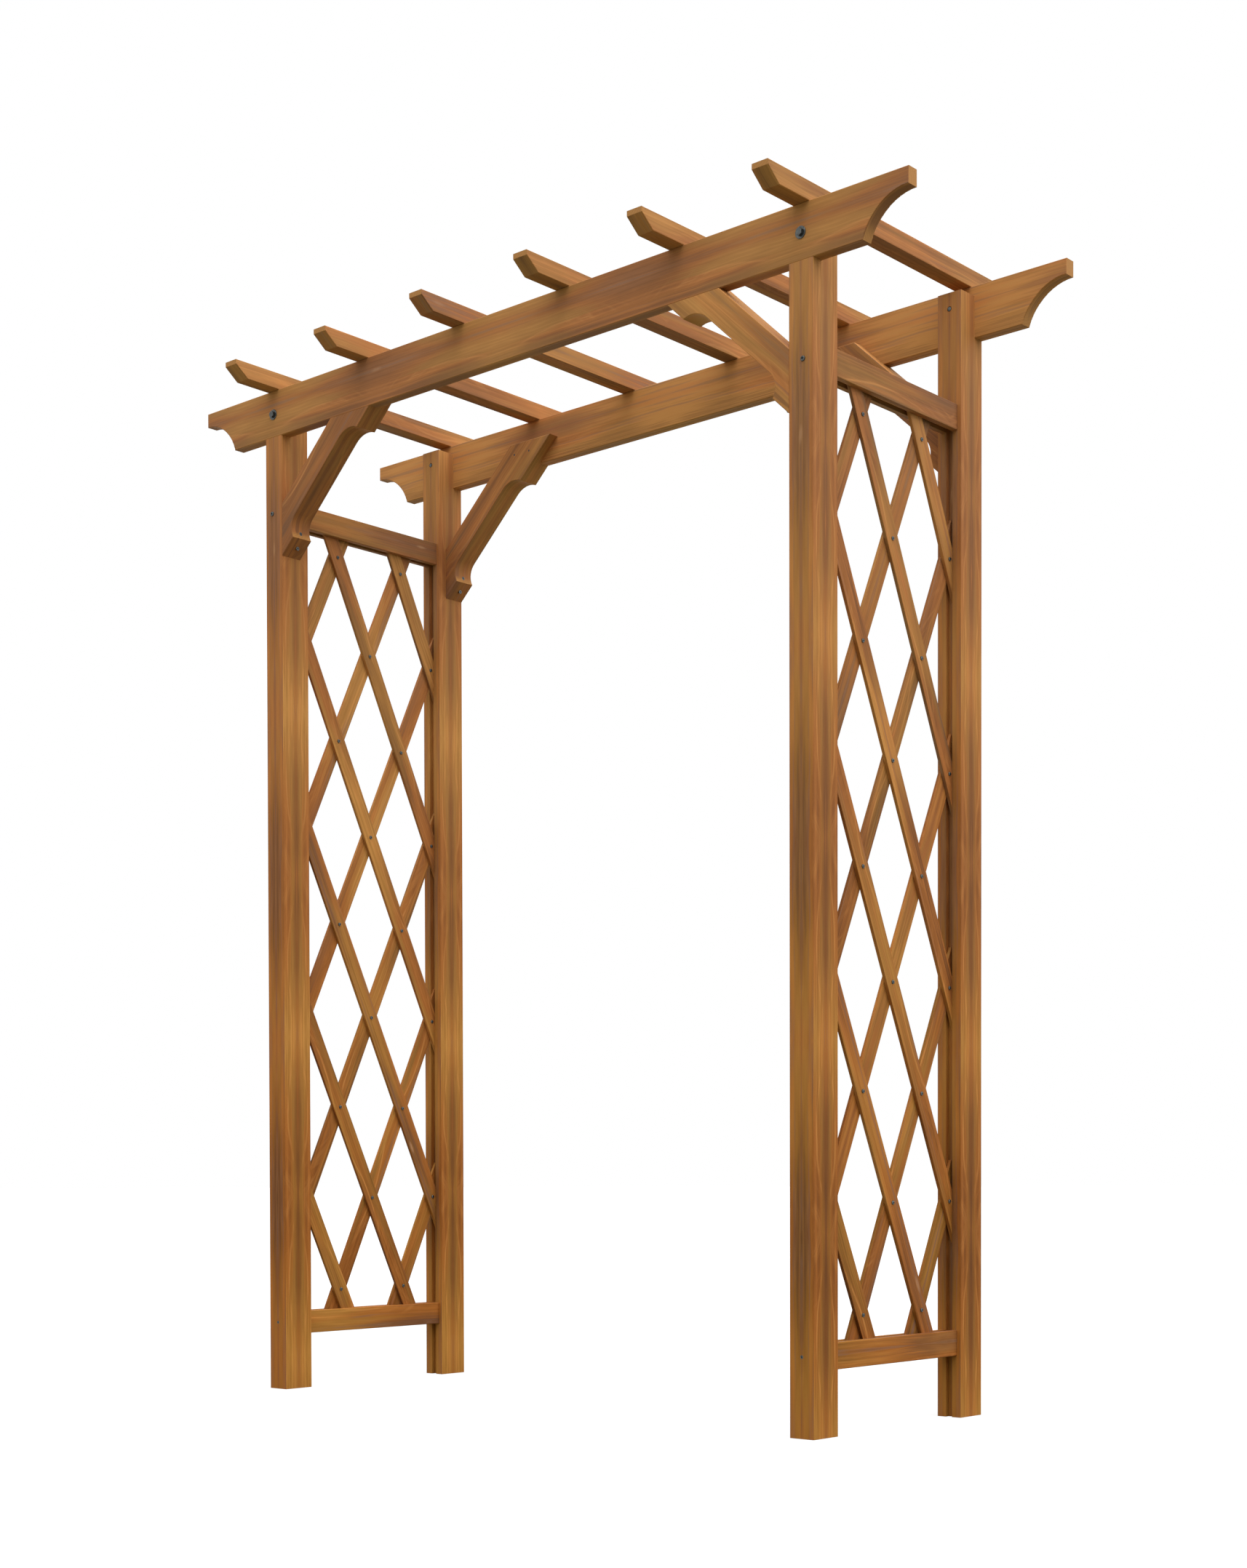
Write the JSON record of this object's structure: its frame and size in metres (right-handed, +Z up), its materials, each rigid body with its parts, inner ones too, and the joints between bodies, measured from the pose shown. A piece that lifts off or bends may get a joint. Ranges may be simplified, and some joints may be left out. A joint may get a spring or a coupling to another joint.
{
  "type": "garden arbor",
  "caption": "Free-standing wooden garden arbor with lattice sides, bolted beams with cove-cut ends, curved knee braces and an open rafter top over a walk-through passage.",
  "frame": {"origin": "on the ground at the middle of the footprint", "axes": "+X along the beams to the right, -Y the front, +Z up"},
  "size_m": [1.956, 0.807, 2.292],
  "materials": {
    "stained_wood": "satin stained, streaky grain",
    "fastener_steel": "dark zinc"
  },
  "bodies": {
    "root": {"beam_back": "stained_wood", "beam_bolts": "fastener_steel", "beam_front": "stained_wood", "bolt_washers": "fastener_steel", "bottom_rail_left": "stained_wood", "bottom_rail_right": "stained_wood", "brace_back_left": "stained_wood", "brace_back_right": "stained_wood", "brace_beam_screws": "fastener_steel", "brace_front_left": "stained_wood", "brace_front_right": "stained_wood", "brace_post_screws": "fastener_steel", "lattice_screws_left": "fastener_steel", "lattice_screws_right": "fastener_steel", "post_back_left": "stained_wood", "post_back_right": "stained_wood", "post_front_left": "stained_wood", "post_front_right": "stained_wood", "rafter_1": "stained_wood", "rafter_2": "stained_wood", "rafter_3": "stained_wood", "rafter_4": "stained_wood", "rafter_5": "stained_wood", "rafter_6": "stained_wood", "rafter_screws": "fastener_steel", "rail_screws": "fastener_steel", "slat_left_down_1": "stained_wood", "slat_left_down_2": "stained_wood", "slat_left_down_3": "stained_wood", "slat_left_down_4": "stained_wood", "slat_left_down_5": "stained_wood", "slat_left_down_6": "stained_wood", "slat_left_up_1": "stained_wood", "slat_left_up_2": "stained_wood", "slat_left_up_3": "stained_wood", "slat_left_up_4": "stained_wood", "slat_left_up_5": "stained_wood", "slat_left_up_6": "stained_wood", "slat_right_down_1": "stained_wood", "slat_right_down_2": "stained_wood", "slat_right_down_3": "stained_wood", "slat_right_down_4": "stained_wood", "slat_right_down_5": "stained_wood", "slat_right_down_6": "stained_wood", "slat_right_up_1": "stained_wood", "slat_right_up_2": "stained_wood", "slat_right_up_3": "stained_wood", "slat_right_up_4": "stained_wood", "slat_right_up_5": "stained_wood", "slat_right_up_6": "stained_wood", "top_rail_left": "stained_wood", "top_rail_right": "stained_wood"}
  },
  "joints": []
}
